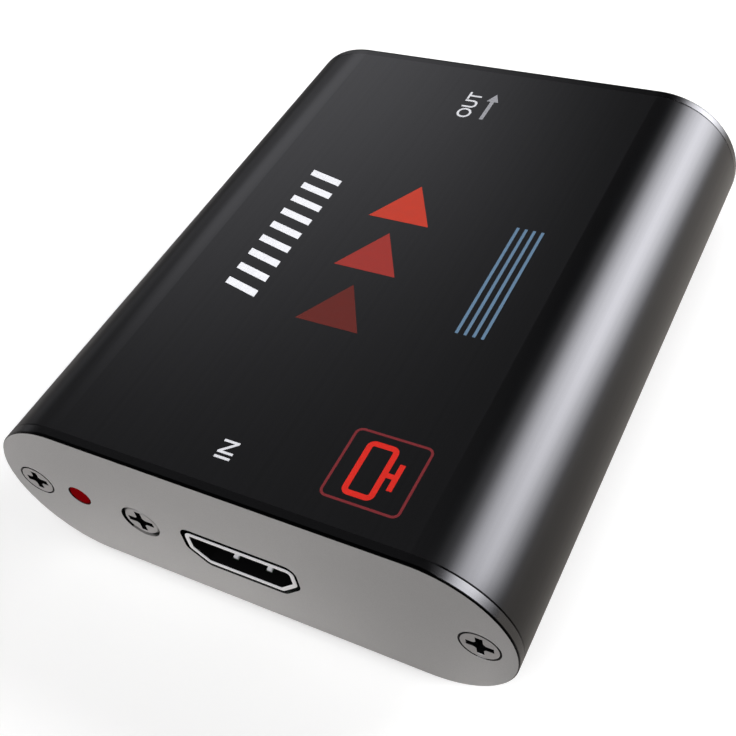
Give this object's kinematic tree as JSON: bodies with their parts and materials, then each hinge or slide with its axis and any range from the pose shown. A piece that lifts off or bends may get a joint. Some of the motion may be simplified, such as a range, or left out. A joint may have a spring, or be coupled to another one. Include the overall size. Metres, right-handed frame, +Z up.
{
  "type": "video capture box",
  "caption": "Flat round-sided metal box with an HDMI socket, a status light and a lock screw on its front and a square USB socket on its rear, for capturing video.",
  "frame": {"origin": "centre of the bottom of the box's bounds, on the surface that the rubber feet stand on", "axes": "+Z up; -Y out of the front with the HDMI socket; +Y out of the rear with the USB socket; +X to the right seen from the front"},
  "size_m": [0.075, 0.09, 0.0265],
  "materials": {
    "case_metal": "dark anodised, satin",
    "plate_metal": "bead-blasted grey",
    "screw_steel": "plain steel",
    "brass_block": "turned",
    "shell_nickel": "nickel plate",
    "contact_gold": "gold plate",
    "lead_tin": "tinned",
    "led_red": "clear red",
    "black_plastic": "moulded",
    "blue_plastic": "moulded",
    "board_laminate": "solder mask",
    "chip_epoxy": "moulded epoxy",
    "pad_grey": "soft pad",
    "sink_black": "black anodised",
    "can_metal": "drawn can",
    "ferrite_grey": "pressed ferrite",
    "ceramic_tan": "fired ceramic",
    "foot_rubber": "matt"
  },
  "bodies": {
    "housing": {"housing_tube": "case_metal", "front_plate": "plate_metal", "rear_plate": "plate_metal", "front_plate_screws": "screw_steel", "rear_plate_screws": "screw_steel", "rubber_feet": "foot_rubber", "lock_block": "brass_block", "led_lens": "led_red", "led_holder": "black_plastic", "led_leads": "lead_tin", "hdmi_shell": "shell_nickel", "hdmi_insulator": "black_plastic", "hdmi_contacts": "contact_gold", "usb_shell": "shell_nickel", "usb_insulator": "blue_plastic", "usb_contacts": "contact_gold", "main_board": "board_laminate", "fpga_chip": "chip_epoxy", "thermal_pad": "pad_grey", "heat_sink": "sink_black", "video_receiver_chip": "chip_epoxy", "video_receiver_leads": "lead_tin", "usb_bridge_chip": "chip_epoxy", "memory_chips": "chip_epoxy", "flash_chip": "chip_epoxy", "crystals": "can_metal", "power_inductors": "ferrite_grey", "polymer_capacitors": "can_metal", "ceramic_capacitors": "ceramic_tan", "surge_protectors": "chip_epoxy"},
    "lock_screw_carrier": {"lock_washer": "screw_steel"},
    "lock_screw_body": {"lock_screw": "screw_steel"}
  },
  "joints": [
    {"name": "lock_screw_travel", "type": "slide", "parent": "housing", "child": "lock_screw_carrier", "axis": [0, -1, 0], "range_m": [0, 0.005]},
    {"name": "lock_screw_turn", "type": "hinge", "parent": "lock_screw_carrier", "child": "lock_screw_body", "pos_m": [-0.0154, -0.045, 0.0131], "axis": [0, -1, 0], "range_deg": [0, 3600]}
  ],
  "couplings": [
    {"joint": "lock_screw_turn", "follows": "lock_screw_travel", "rad_per_m": 12566}
  ]
}
